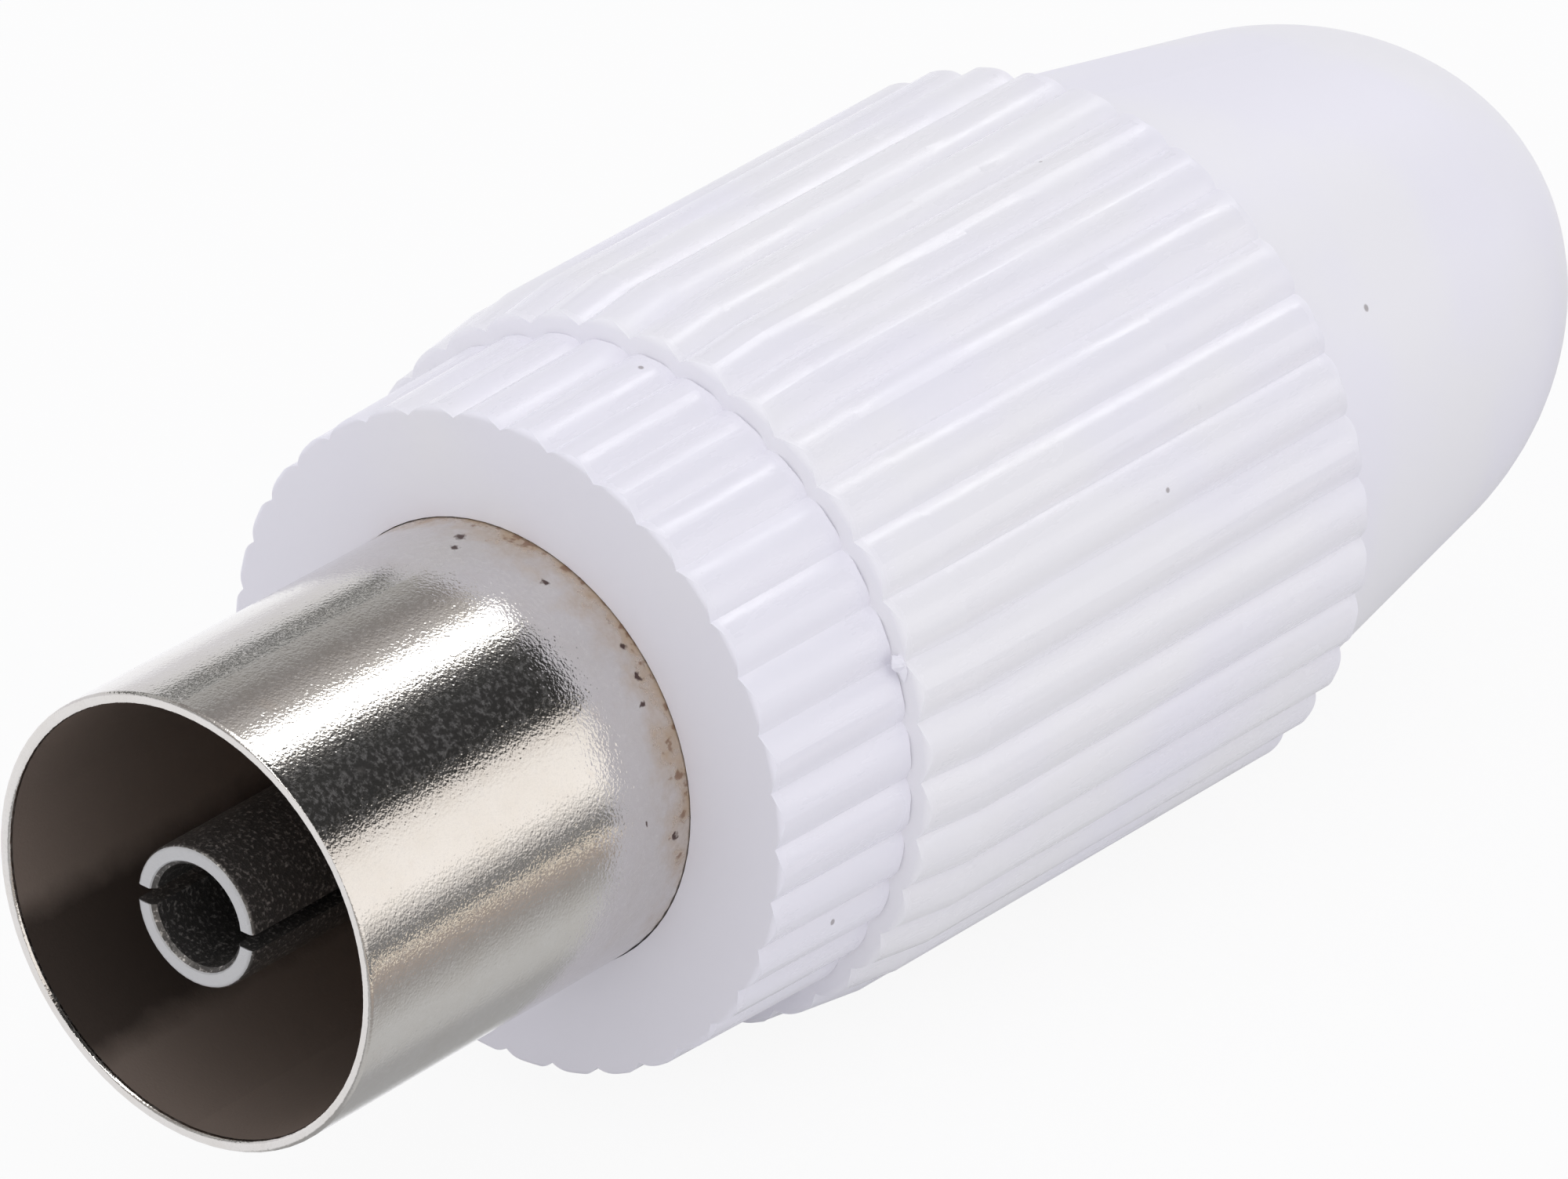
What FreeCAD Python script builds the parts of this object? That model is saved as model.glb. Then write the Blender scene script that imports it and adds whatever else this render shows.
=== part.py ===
"""Aerial cable socket of the 9.52 mm coaxial type with a screw-together plastic housing.

The connector lies on its side. Its axis runs along Y, the mouth faces -Y, and the origin is the
centre of the mouth. Lengths are in millimetres. A rib valley points straight down, so that the
barrel rests on two ribs.
"""

import FreeCAD
import Part
import math
import os
import Sketcher

from FreeCAD import Placement, Rotation, Vector

# Driving dimensions: alias, value and what it is.
SIZES = (
    ("tube_radius", 5.10, "outside of the nickel-plated tube"),
    ("tube_wall", 0.27, "sheet of the drawn tube and its cup"),
    ("tube_reach", 10.12, "mouth of the tube to the face of the collar"),
    ("tube_lip", 0.09, "rounding of the tube's mouth"),
    ("tube_bend", 0.25, "bend from the tube to its cup"),
    ("cup_radius", 5.90, "outside of the cup that holds the insulator"),
    ("rim_radius", 5.15, "opening of the rolled rim of the cup"),
    ("disc_thick", 1.60, "insulating disc"),
    ("disc_play", 0.05, "disc and ring to the wall of the cup"),
    ("contact_mouth", 0.36, "mouth of the tube to the end of the contact"),
    ("contact_radius", 1.60, "outside of the split contact"),
    ("contact_bore", 1.15, "bore of the split contact"),
    ("contact_lip", 0.12, "rounding of the contact's end"),
    ("contact_depth", 8.60, "depth of the contact's bore"),
    ("slot_width", 0.38, "saw cut that splits the contact"),
    ("slot_depth", 7.20, "length of the saw cut"),
    ("slot_tilt", 2.60, "how far the saw cut falls towards +X, in degrees"),
    ("bead_radius", 2.05, "bead staked in front of the disc"),
    ("bead_thick", 0.35, "thickness of the staked bead"),
    ("shank_play", 0.02, "contact to the hole in the disc"),
    ("block_radius", 2.40, "wire terminal behind the disc"),
    ("block_length", 6.10, "length of the wire terminal"),
    ("block_flat", 2.05, "height of the terminal's flat above the axis"),
    ("block_edge", 0.25, "chamfer of the terminal"),
    ("wire_radius", 0.65, "hole for the cable's inner wire"),
    ("wire_depth", 4.60, "depth of the wire hole"),
    ("wire_lead", 0.35, "countersink of the wire hole"),
    ("terminal_back", 2.40, "terminal screw to the rear end of the terminal"),
    ("collar_length", 4.19, "length of the ribbed collar"),
    ("collar_wall", 1.50, "front wall of the collar"),
    ("collar_front", 7.58, "rib tips at the front of the collar"),
    ("collar_rear", 7.72, "rib tips at the rear of the collar"),
    ("collar_edge", 0.12, "rounding of the collar's edges"),
    ("hole_play", 0.02, "tube to the hole in the collar"),
    ("hole_lead", 0.40, "chamfer behind that hole"),
    ("cup_play", 0.10, "cup to the bore of the collar"),
    ("snap_height", 0.30, "bead that keeps the cup in the collar"),
    ("snap_length", 0.80, "length of that bead"),
    ("snap_play", 0.06, "rim of the cup to the bead"),
    ("spigot_radius", 6.90, "root of the collar's screw thread"),
    ("spigot_length", 7.20, "length of the threaded spigot"),
    ("spigot_lead", 0.40, "chamfer at the end of the spigot"),
    ("thread_radius", 7.25, "root of the screw thread in the rear shell"),
    ("thread_length", 8.60, "length of that thread"),
    ("barrel_length", 14.92, "ribbed length of the rear shell"),
    ("barrel_front", 8.15, "rib tips at the front of the barrel"),
    ("barrel_shoulder", 8.37, "rib tips where the barrel has curved out"),
    ("shoulder_length", 1.80, "length of that curve"),
    ("barrel_rear", 8.52, "rib tips at the rear of the barrel"),
    ("barrel_edge", 0.15, "rounding of the barrel's edges"),
    ("rib_count", 36, "ribs round the collar and round the barrel"),
    ("rib_round", 1.00, "radius of each rib's crown"),
    ("rib_over", 0.12, "blank left above the ribs before they are cut"),
    ("tail_length", 13.57, "smooth tail behind the ribs"),
    ("tail_radius", 7.90, "tail where it leaves the ribs"),
    ("tail_taper", 9.80, "slope of the tail in degrees"),
    ("tail_cone", 8.61, "straight length of the tail"),
    ("tail_round", 9.50, "radius of the bullet end"),
    ("cable_radius", 3.40, "hole for the cable"),
    ("cable_land", 1.60, "length of the cable hole"),
    ("cable_lip", 0.20, "rounding of the cable hole"),
    ("shell_bore", 7.00, "inside of the barrel behind the thread"),
    ("shell_wall", 1.36, "wall of the tail, square to the axis"),
    ("ring_thick", 0.60, "sheet of the earth frame's ring and tongue"),
    ("ring_hole", 3.60, "hole in the ring round the terminal"),
    ("tongue_drop", 4.75, "underside of the tongue below the axis"),
    ("tongue_width", 3.40, "width of the tongue"),
    ("tongue_bend", 0.30, "inside bend of the tongue"),
    ("bend_relief", 0.25, "slit on each side of that bend"),
    ("clamp_start", 24.40, "mouth of the tube to the cable clamp"),
    ("clamp_width", 3.40, "width of the cradle and of the strap"),
    ("clamp_ramp", 1.30, "length of the rise from tongue to cradle"),
    ("clamp_sheet", 0.55, "sheet of the cradle and the strap"),
    ("clamp_bore", 2.85, "inside of the cradle and the strap"),
    ("clamp_ear", 0.30, "ears below the middle of the cradle"),
    ("clamp_reach", 6.05, "end of the ears from the axis"),
    ("strap_rise", 0.50, "middle of the strap above the axis"),
    ("screw_pitch", 4.65, "clamp screws from the axis"),
    ("screw_shank", 0.95, "shank of the M2 screws"),
    ("screw_play", 0.05, "shank to its tapped hole"),
    ("strap_play", 0.15, "shank to the hole in the strap"),
    ("head_play", 0.05, "strap to the screw heads"),
    ("clamp_head", 1.30, "head of the clamp screws"),
    ("clamp_head_high", 1.00, "height of that head"),
    ("clamp_shank", 4.00, "length of the clamp screws under the head"),
    ("terminal_head", 1.60, "head of the terminal screw"),
    ("terminal_head_high", 1.00, "height of that head"),
    ("terminal_shank", 2.60, "length of the terminal screw under the head"),
    ("terminal_gap", 0.35, "terminal's flat to the head of its screw"),
    ("terminal_drill", 0.85, "bottom of the tapped hole below the axis"),
    ("drive_width", 0.36, "slot in the screw heads"),
    ("drive_depth", 0.50, "depth of that slot"),
    ("head_edge", 0.18, "rounding of the screw heads"),
    ("point_edge", 0.25, "chamfer of the screw points"),
    ("drill_point", 0.40, "depth of a drilled point over its radius"),
    ("bore_slope", 2.00, "run over rise of the step between barrel and tail"),
    ("notch_over", 0.36, "how far the rib cutter stands above the rib tips"),
)

# Derived dimensions: alias and formula.
DERIVED = (
    ("tube_bore", "tube_radius - tube_wall"),
    ("cup_front", "tube_reach + collar_wall"),
    ("disc_front", "cup_front + tube_wall"),
    ("ring_front", "disc_front + disc_thick"),
    ("ring_rear", "ring_front + ring_thick"),
    ("cup_rear", "ring_rear + tube_wall"),
    ("cup_bore", "cup_radius - tube_wall"),
    ("disc_radius", "cup_bore - disc_play"),
    ("bead_front", "disc_front - bead_thick"),
    ("block_rear", "ring_front + block_length"),
    ("wire_floor", "block_rear - wire_depth"),
    ("wire_tip", "wire_floor - drill_point * wire_radius"),
    ("bore_floor", "contact_mouth + contact_depth"),
    ("bore_tip", "bore_floor + drill_point * contact_bore"),
    ("terminal_at", "block_rear - terminal_back"),
    ("seam", "tube_reach + collar_length"),
    ("collar_bore", "cup_radius + cup_play"),
    ("collar_hole", "tube_radius + hole_play"),
    ("snap_front", "cup_rear + snap_play"),
    ("snap_rear", "snap_front + snap_length"),
    ("snap_radius", "collar_bore - snap_height"),
    ("spigot_end", "seam + spigot_length"),
    ("rib_end", "seam + barrel_length"),
    ("tail_end", "rib_end + tail_length"),
    ("thread_end", "seam + thread_length"),
    ("cone_end", "rib_end + tail_cone"),
    ("cone_radius", "tail_radius - tail_cone * tan(tail_taper * 1deg)"),
    ("round_middle", "cone_end - tail_round * sin(tail_taper * 1deg)"),
    ("round_drop", "cone_radius - tail_round * cos(tail_taper * 1deg)"),
    ("tail_tip", "round_drop + sqrt(tail_round ^ 2 - (tail_end - round_middle) ^ 2)"),
    ("land_start", "tail_end - cable_land"),
    ("bore_shut", "tail_radius - shell_wall"),
    ("bore_end", "rib_end - bore_slope * (shell_bore - bore_shut)"),
    ("cavity_end", "cone_end - shell_wall"),
    ("cavity_radius", "cone_radius - shell_wall + shell_wall * tan(tail_taper * 1deg)"),
    ("tongue_top", "tongue_drop - ring_thick"),
    ("ramp_start", "clamp_start - clamp_ramp"),
    ("clamp_end", "clamp_start + clamp_width"),
    ("clamp_under", "clamp_bore + clamp_sheet"),
    ("clamp_lower", "clamp_ear + clamp_sheet"),
    ("ear_inner", "sqrt(clamp_bore ^ 2 - clamp_ear ^ 2)"),
    ("ear_outer", "sqrt(clamp_under ^ 2 - clamp_lower ^ 2)"),
    ("screw_at", "clamp_start + 0.5 * clamp_width"),
    ("clamp_seat", "strap_rise + clamp_ear + clamp_sheet + head_play"),
    ("terminal_seat", "block_flat + terminal_gap"),
    ("ring_chord", "sqrt(disc_radius ^ 2 - tongue_drop ^ 2)"),
    ("slot_turn", "180 - slot_tilt"),
    ("bend_outer", "tongue_bend + ring_thick"),
    ("half_notch", "0.5 * tongue_width + bend_relief"),
    ("half_slot", "0.5 * slot_width"),
    ("half_drive", "0.5 * drive_width"),
    ("tapped_radius", "screw_shank + screw_play"),
    ("strap_hole", "screw_shank + strap_play"),
)

# The notch between two ribs changes from each of these stations to the next.
RIB_STATIONS = ("collar_front", "collar_rear", "barrel_front", "barrel_shoulder", "barrel_rear")

NOTCH = (
    ("crown", "{tip} - rib_round"),
    ("side", "{tip} * sin(180deg / rib_count)"),
    ("top", "{tip} * cos(180deg / rib_count)"),
    ("valley", "{tip}_crown * cos(180deg / rib_count)"
               " + sqrt(rib_round ^ 2 - ({tip}_crown * sin(180deg / rib_count)) ^ 2)"),
    ("clear_side", "({tip} + notch_over) * sin(180deg / rib_count)"),
    ("clear_top", "({tip} + notch_over) * cos(180deg / rib_count)"),
)

doc = FreeCAD.newDocument("aerial_socket")
sheet = doc.addObject("Spreadsheet::Sheet", "sizes")


def fill_sheet():
    """Write every driving and derived dimension into the sheet, one row each."""
    rows = [(alias, str(value), note) for alias, value, note in SIZES]
    rows += [(alias, "=" + formula, "derived") for alias, formula in DERIVED]
    for tip in RIB_STATIONS:
        rows += [(f"{tip}_{name}", "=" + formula.format(tip=tip), "rib notch")
                 for name, formula in NOTCH]
    for row, (alias, content, note) in enumerate(rows, start=1):
        sheet.set(f"A{row}", note)
        sheet.set(f"B{row}", content)
        sheet.setAlias(f"B{row}", alias)
    doc.recompute()


def amount(words):
    """The number that a sum of cells stands for, such as "seam - rib_over"."""
    total = 0.0
    sign = 1.0
    for word in words.split():
        if word == "-":
            sign = -1.0
        elif word != "+":
            total += sign * float(getattr(sheet, word))
            sign = 1.0
    return total


def formula(words):
    """The same sum as an expression on the sheet."""
    return " ".join(word if word in "+-" else f"sizes.{word}" for word in words.split())


def new_body(label):
    """A sub-part, empty so far."""
    body = doc.addObject("PartDesign::Body", label)
    body.Label = label
    return body


def origin_plane(body, role):
    """One of the three origin planes of a body."""
    return next(item for item in body.Origin.OriginFeatures if item.Role == role)


def new_sketch(body, name, role, off="", turn=""):
    """A sketch on an origin plane, moved along the plane's normal and turned on it."""
    sketch = body.newObject("Sketcher::SketchObject", f"{body.Label}_{name}")
    sketch.AttachmentSupport = (origin_plane(body, role), [""])
    sketch.MapMode = "FlatFace"
    if turn:
        sketch.AttachmentOffset = Placement(Vector(), Rotation(Vector(0, 0, 1), amount(turn)))
        sketch.setExpression("AttachmentOffset.Rotation.Angle", formula(turn))
    if off:
        # The XZ plane's normal points towards -Y.
        sign = "-1 * " if role == "XZ_Plane" else ""
        sketch.setExpression("AttachmentOffset.Base.z", f"{sign}({formula(off)})")
    return sketch


def pin_point(sketch, piece, end, across, up):
    """Hold an end of a sketch line at a place that the sheet gives."""
    for words, kind, axis in ((across, "DistanceX", -2), (up, "DistanceY", -1)):
        if words == "0":
            sketch.addConstraint(Sketcher.Constraint("PointOnObject", piece, end, axis))
            continue
        number = sketch.addConstraint(
            Sketcher.Constraint(kind, -1, 1, piece, end, amount(words)))
        sketch.setExpression(f"Constraints[{number}]", formula(words))


def spot(words):
    """A coordinate as a number, where "0" means on the axis."""
    return 0.0 if words == "0" else amount(words)


def arc_between(start, end, radius, hollow):
    """An arc from start to end, and whether its own ends are swapped.

    The arc bulges to the right of the way from start to end, or to the left if it is hollow.
    """
    chord = end - start
    height = math.sqrt(max(radius * radius - chord.Length ** 2 / 4, 0.0))
    left = Vector(-chord.y, chord.x, 0).normalize()
    centre = (start + end) * 0.5 + left * (-height if hollow else height)
    first, last = (end, start) if hollow else (start, end)
    angles = [math.atan2(point.y - centre.y, point.x - centre.x) for point in (first, last)]
    circle = Part.Circle(centre, Vector(0, 0, 1), radius)
    return Part.ArcOfCircle(circle, angles[0], angles[1]), hollow


def draw_outline(sketch, points):
    """A closed outline through points that the sheet gives.

    Each point is (across, up), and what leaves it is a line, or an arc where (radius, hollow)
    follows. Each corner is pinned, so the outline has no freedom left.
    """
    places = [Vector(spot(point[0]), spot(point[1]), 0) for point in points]
    ends = []
    for index, point in enumerate(points):
        start = places[index]
        end = places[(index + 1) % len(places)]
        if len(point) == 2:
            piece = sketch.addGeometry(Part.LineSegment(start, end))
            ends.append((piece, 1, 2))
            continue
        radius, hollow = point[2]
        arc, swapped = arc_between(start, end, amount(radius), hollow)
        piece = sketch.addGeometry(arc)
        ends.append((piece, 2, 1) if swapped else (piece, 1, 2))
    for index, point in enumerate(points):
        piece, first, _ = ends[index]
        before, _, last = ends[index - 1]
        sketch.addConstraint(Sketcher.Constraint("Coincident", before, last, piece, first))
        pin_point(sketch, piece, first, point[0], point[1])
    for index, point in enumerate(points):
        if len(point) > 2:
            piece = ends[index][0]
            radius = point[2][0]
            number = sketch.addConstraint(Sketcher.Constraint("Radius", piece, amount(radius)))
            sketch.setExpression(f"Constraints[{number}]", formula(radius))


def draw_circle(sketch, across, up, radius):
    """A circle whose centre and radius the sheet gives."""
    centre = Vector(spot(across), spot(up), 0)
    piece = sketch.addGeometry(Part.Circle(centre, Vector(0, 0, 1), amount(radius)))
    if across == "0" and up == "0":
        sketch.addConstraint(Sketcher.Constraint("Coincident", piece, 3, -1, 1))
    else:
        pin_point(sketch, piece, 3, across, up)
    number = sketch.addConstraint(Sketcher.Constraint("Radius", piece, amount(radius)))
    sketch.setExpression(f"Constraints[{number}]", formula(radius))


def draw_strip(sketch, half_across, half_up):
    """A rectangle centred on the sketch's origin."""
    draw_outline(sketch, (
        ("- " + half_across, "- " + half_up), (half_across, "- " + half_up),
        (half_across, half_up), ("- " + half_across, half_up)))


def revolve(body, name, points):
    """A turned solid: the outline is drawn as distance along Y and radius."""
    sketch = new_sketch(body, name, "YZ_Plane")
    draw_outline(sketch, points)
    turned = body.newObject("PartDesign::Revolution", f"{body.Label}_{name}_turned")
    turned.Profile = sketch
    turned.ReferenceAxis = (sketch, ["H_Axis"])
    turned.Angle = 360.0
    doc.recompute()
    return turned


def extrude(body, kind, sketch, length, **settings):
    """A pad or pocket whose length is a sum of cells."""
    feature = body.newObject(f"PartDesign::{kind}", f"{sketch.Label}_{kind.lower()}")
    feature.Profile = sketch
    for key, value in settings.items():
        setattr(feature, key, value)
    if length:
        feature.Length = amount(length)
        feature.setExpression("Length", formula(length))
    before = body.Shape.Volume if kind == "Pocket" else 0.0
    doc.recompute()
    if kind == "Pocket" and not body.Shape.Volume < before - 1e-6:
        raise RuntimeError(f"{feature.Label} cuts nothing")
    return feature


def cut_ribs(body, stations):
    """Cut the notch between two ribs through its stations, then repeat it all round."""
    sections = []
    for number, (tip, off) in enumerate(stations):
        sketch = new_sketch(body, f"notch_{number}", "XZ_Plane", off=off)
        draw_outline(sketch, (
            (f"- {tip}_side", f"{tip}_top", ("rib_round", True)),
            ("0", f"{tip}_valley", ("rib_round", True)),
            (f"{tip}_side", f"{tip}_top"),
            (f"{tip}_clear_side", f"{tip}_clear_top"),
            (f"- {tip}_clear_side", f"{tip}_clear_top")))
        sections.append(sketch)
    notch = body.newObject("PartDesign::SubtractiveLoft", f"{body.Label}_notch")
    notch.Profile = sections[0]
    notch.Sections = sections[1:]
    notch.Ruled = True
    doc.recompute()
    ribs = body.newObject("PartDesign::PolarPattern", f"{body.Label}_ribs")
    ribs.Originals = [notch]
    ribs.Axis = (sections[0], ["N_Axis"])
    ribs.Angle = 360.0
    ribs.setExpression("Occurrences", "sizes.rib_count")
    body.Tip = ribs
    doc.recompute()


def outer_sleeve():
    """Thin tube drawn in one piece with the cup whose rolled rim holds the insulator."""
    body = new_body("outer_sleeve")
    revolve(body, "wall", (
        ("0", "tube_bore + tube_lip", ("tube_lip", False)),
        ("tube_lip", "tube_bore"),
        ("disc_front", "tube_bore"),
        ("disc_front", "cup_bore"),
        ("ring_rear", "cup_bore"),
        ("ring_rear", "rim_radius"),
        ("cup_rear", "rim_radius"),
        ("cup_rear", "cup_radius - tube_wall", ("tube_wall", False)),
        ("cup_rear - tube_wall", "cup_radius"),
        ("cup_front", "cup_radius"),
        ("cup_front", "tube_radius + tube_bend", ("tube_bend", True)),
        ("cup_front - tube_bend", "tube_radius"),
        ("tube_lip", "tube_radius", ("tube_lip", False)),
        ("0", "tube_radius - tube_lip")))
    return body


def insulator_disc():
    """Punched disc between the contact and the cup."""
    body = new_body("insulator_disc")
    revolve(body, "disc", (
        ("disc_front", "contact_radius + shank_play"),
        ("ring_front", "contact_radius + shank_play"),
        ("ring_front", "disc_radius"),
        ("disc_front", "disc_radius")))
    return body


def centre_contact():
    """Contact turned with its wire terminal, split by a saw cut and staked into the disc."""
    body = new_body("centre_contact")
    revolve(body, "turning", (
        ("contact_mouth", "contact_bore + contact_lip"),
        ("contact_mouth", "contact_radius - contact_lip", ("contact_lip", True)),
        ("contact_mouth + contact_lip", "contact_radius"),
        ("bead_front", "contact_radius"),
        ("bead_front", "bead_radius"),
        ("disc_front", "bead_radius"),
        ("disc_front", "contact_radius"),
        ("ring_front", "contact_radius"),
        ("ring_front", "block_radius"),
        ("block_rear - block_edge", "block_radius"),
        ("block_rear", "block_radius - block_edge"),
        ("block_rear", "wire_radius + wire_lead"),
        ("block_rear - wire_lead", "wire_radius"),
        ("wire_floor", "wire_radius"),
        ("wire_tip", "0"),
        ("bore_tip", "0"),
        ("bore_floor", "contact_bore"),
        ("contact_mouth + contact_lip", "contact_bore")))
    saw = new_sketch(body, "saw_cut", "XZ_Plane", off="contact_mouth", turn="slot_turn")
    draw_strip(saw, "bead_radius", "half_slot")
    extrude(body, "Pocket", saw, "slot_depth", Reversed=False)
    flat = new_sketch(body, "flat", "XY_Plane", off="block_flat")
    draw_outline(flat, (
        ("- block_radius", "ring_front"), ("block_radius", "ring_front"),
        ("block_radius", "block_rear + block_edge"), ("- block_radius", "block_rear + block_edge")))
    extrude(body, "Pocket", flat, "block_radius", Reversed=True)
    tapped = new_sketch(body, "tapped_hole", "XY_Plane", off="block_flat")
    draw_circle(tapped, "0", "terminal_at", "tapped_radius")
    extrude(body, "Pocket", tapped, "block_flat + terminal_drill", Reversed=False)
    return body


def cable_frame():
    """Stamped earth frame: ring in the cup, tongue to the rear and cradle under the cable."""
    body = new_body("cable_frame")
    ring = new_sketch(body, "ring", "XZ_Plane", off="ring_front")
    draw_outline(ring, (
        ("- ring_chord", "- tongue_drop"),
        ("- half_notch", "- tongue_drop"),
        ("- half_notch", "- tongue_drop + bend_outer"),
        ("half_notch", "- tongue_drop + bend_outer"),
        ("half_notch", "- tongue_drop"),
        ("ring_chord", "- tongue_drop", ("disc_radius", False)),
        ("0", "disc_radius", ("disc_radius", False))))
    draw_circle(ring, "0", "0", "ring_hole")
    extrude(body, "Pad", ring, "ring_thick", Reversed=True)
    tongue = new_sketch(body, "tongue", "YZ_Plane")
    draw_outline(tongue, (
        ("ring_front", "- tongue_drop + bend_outer", ("bend_outer", False)),
        ("ring_front + bend_outer", "- tongue_drop"),
        ("ramp_start", "- tongue_drop"),
        ("clamp_start", "- clamp_under"),
        ("clamp_end", "- clamp_under"),
        ("clamp_end", "- clamp_bore"),
        ("clamp_start", "- clamp_bore"),
        ("ramp_start", "- tongue_top"),
        ("ring_rear + tongue_bend", "- tongue_top", ("tongue_bend", True)),
        ("ring_rear", "- tongue_top + tongue_bend"),
        ("ring_front", "- tongue_top + tongue_bend")))
    extrude(body, "Pad", tongue, "tongue_width", Midplane=True)
    clamp_plate(body, "tapped_radius")
    return body


def clamp_plate(body, hole_radius):
    """Pressed plate with a trough for the cable and an ear with a hole on each side."""
    plate = new_sketch(body, "plate", "XZ_Plane", off="clamp_start")
    draw_outline(plate, (
        ("- ear_inner", "- clamp_ear", ("clamp_bore", False)),
        ("ear_inner", "- clamp_ear"),
        ("clamp_reach", "- clamp_ear"),
        ("clamp_reach", "- clamp_lower"),
        ("ear_outer", "- clamp_lower", ("clamp_under", True)),
        ("- ear_outer", "- clamp_lower"),
        ("- clamp_reach", "- clamp_lower"),
        ("- clamp_reach", "- clamp_ear")))
    extrude(body, "Pad", plate, "clamp_width", Reversed=True)
    holes = new_sketch(body, "holes", "XY_Plane", off="- clamp_ear")
    draw_circle(holes, "screw_pitch", "screw_at", hole_radius)
    draw_circle(holes, "- screw_pitch", "screw_at", hole_radius)
    extrude(body, "Pocket", holes, "clamp_sheet", Reversed=False)


def clamp_strap():
    """The same pressing as the cradle, turned over and put above the cable."""
    body = new_body("clamp_strap")
    clamp_plate(body, "strap_hole")
    body.Placement = Placement(Vector(), Rotation(Vector(0, 1, 0), 180))
    body.setExpression("Placement.Base.z", "sizes.strap_rise")
    return body


def slotted_screw(label, head, high, shank, across, along, seat):
    """Cheese-head screw that points down, with its seat at the underside of the head."""
    body = new_body(label)
    profile = new_sketch(body, "turning", "XZ_Plane")
    draw_outline(profile, (
        ("0", "- " + shank),
        ("screw_shank - point_edge", "- " + shank),
        ("screw_shank", f"point_edge - {shank}"),
        ("screw_shank", "0"),
        (head, "0"),
        (head, f"{high} - head_edge", ("head_edge", False)),
        (f"{head} - head_edge", high),
        ("0", high)))
    turned = body.newObject("PartDesign::Revolution", f"{label}_turned")
    turned.Profile = profile
    turned.ReferenceAxis = (profile, ["V_Axis"])
    turned.Angle = 360.0
    doc.recompute()
    drive = new_sketch(body, "drive", "XY_Plane", off=high)
    draw_strip(drive, head, "half_drive")
    extrude(body, "Pocket", drive, "drive_depth", Reversed=False)
    body.Placement = Placement(Vector(spot(across), amount(along), amount(seat)), Rotation())
    if across != "0":
        body.setExpression("Placement.Base.x", formula(across))
    body.setExpression("Placement.Base.y", formula(along))
    body.setExpression("Placement.Base.z", formula(seat))
    return body


def front_collar():
    """Ribbed collar nut with its threaded spigot, and the snap bead that keeps the cup in."""
    body = new_body("front_collar")
    revolve(body, "blank", (
        ("tube_reach", "collar_hole"),
        ("tube_reach", "collar_front - collar_edge", ("collar_edge", True)),
        ("tube_reach + collar_edge", "collar_front"),
        ("tube_reach + collar_edge", "collar_front + rib_over"),
        ("seam - collar_edge", "collar_rear + rib_over"),
        ("seam - collar_edge", "collar_rear", ("collar_edge", True)),
        ("seam", "collar_rear - collar_edge"),
        ("seam", "spigot_radius"),
        ("spigot_end - spigot_lead", "spigot_radius"),
        ("spigot_end", "spigot_radius - spigot_lead"),
        ("spigot_end", "collar_bore"),
        ("snap_rear", "collar_bore"),
        ("snap_front + snap_height", "snap_radius"),
        ("snap_front", "collar_bore"),
        ("cup_front", "collar_bore"),
        ("cup_front", "collar_hole + hole_lead"),
        ("cup_front - hole_lead", "collar_hole")))
    cut_ribs(body, (
        ("collar_front", "tube_reach - rib_over"),
        ("collar_rear", "seam + rib_over")))
    return body


def rear_shell():
    """Ribbed barrel with a smooth bullet tail, hollow to the cable hole at its end."""
    body = new_body("rear_shell")
    revolve(body, "blank", (
        ("seam", "thread_radius"),
        ("seam", "barrel_front - barrel_edge", ("barrel_edge", True)),
        ("seam + barrel_edge", "barrel_front"),
        ("seam + barrel_edge", "barrel_front + rib_over"),
        ("seam + shoulder_length", "barrel_shoulder + rib_over"),
        ("rib_end - barrel_edge", "barrel_rear + rib_over"),
        ("rib_end - barrel_edge", "barrel_rear", ("barrel_edge", True)),
        ("rib_end", "barrel_rear - barrel_edge"),
        ("rib_end", "tail_radius"),
        ("cone_end", "cone_radius", ("tail_round", True)),
        ("tail_end", "tail_tip"),
        ("tail_end", "cable_radius + cable_lip", ("cable_lip", True)),
        ("tail_end - cable_lip", "cable_radius"),
        ("land_start", "cable_radius"),
        ("cavity_end", "cavity_radius"),
        ("rib_end", "bore_shut"),
        ("bore_end", "shell_bore"),
        ("thread_end", "shell_bore"),
        ("thread_end", "thread_radius")))
    cut_ribs(body, (
        ("barrel_front", "seam - rib_over"),
        ("barrel_front", "seam + barrel_edge"),
        ("barrel_shoulder", "seam + shoulder_length"),
        ("barrel_rear", "rib_end + rib_over")))
    return body


def check_model(pieces):
    """Stop on any object that failed and on any sub-part without one valid solid."""
    for item in doc.Objects:
        if "Invalid" in item.State or "Error" in item.State:
            raise RuntimeError(f"{item.Label} is in state {item.State}")
    for piece in pieces:
        shape = piece.Shape
        if shape.isNull() or not shape.isValid() or len(shape.Solids) != 1:
            raise RuntimeError(f"{piece.Label} is not one valid solid")


fill_sheet()
parts = [
    outer_sleeve(),
    insulator_disc(),
    centre_contact(),
    cable_frame(),
    clamp_strap(),
    slotted_screw("clamp_screw_left", "clamp_head", "clamp_head_high", "clamp_shank",
                  "- screw_pitch", "screw_at", "clamp_seat"),
    slotted_screw("clamp_screw_right", "clamp_head", "clamp_head_high", "clamp_shank",
                  "screw_pitch", "screw_at", "clamp_seat"),
    slotted_screw("terminal_screw", "terminal_head", "terminal_head_high", "terminal_shank",
                  "0", "terminal_at", "terminal_seat"),
    front_collar(),
    rear_shell(),
]
doc.recompute()
check_model(parts)
os.makedirs("parts", exist_ok=True)
for part in parts:
    part.Shape.exportStep(f"parts/{part.Label}.step")
    print(f"{part.Label}: {part.Shape.Volume:.2f} cubic mm")
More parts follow.
